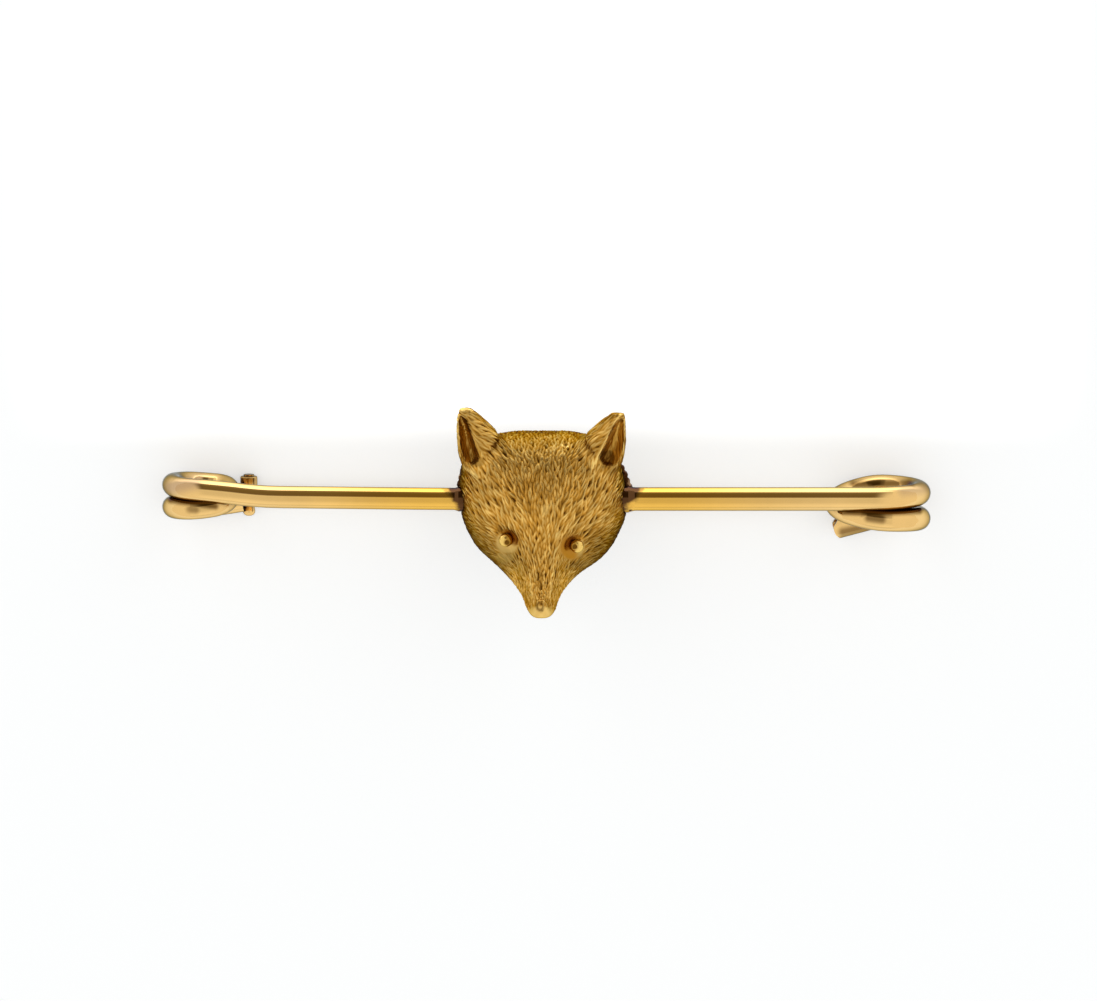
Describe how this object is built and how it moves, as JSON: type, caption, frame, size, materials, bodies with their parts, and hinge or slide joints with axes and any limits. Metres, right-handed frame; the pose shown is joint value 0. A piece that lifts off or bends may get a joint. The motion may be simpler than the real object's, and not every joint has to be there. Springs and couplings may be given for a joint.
{
  "type": "fox head bar brooch",
  "caption": "Bar brooch: a cast fox mask on a round gold wire that is coiled at both ends, with a pin stem on a hinge behind it and a hooked catch.",
  "frame": {"origin": "centre of the base of the brooch's box, on the plane that the backs of both coils rest on", "axes": "+X along the bar, with the catch at +X and the hinge at -X; +Y towards the fox's ears; +Z out of the fox's face"},
  "size_m": [0.0582, 0.0152, 0.0136],
  "materials": {
    "polished_gold": "polished",
    "bloomed_gold": "matte, hand-engraved fur"
  },
  "bodies": {
    "root": {"bar_wire": "polished_gold", "fox_head": "bloomed_gold", "pin_stem": "polished_gold", "hinge_rivet": "polished_gold"}
  },
  "joints": []
}
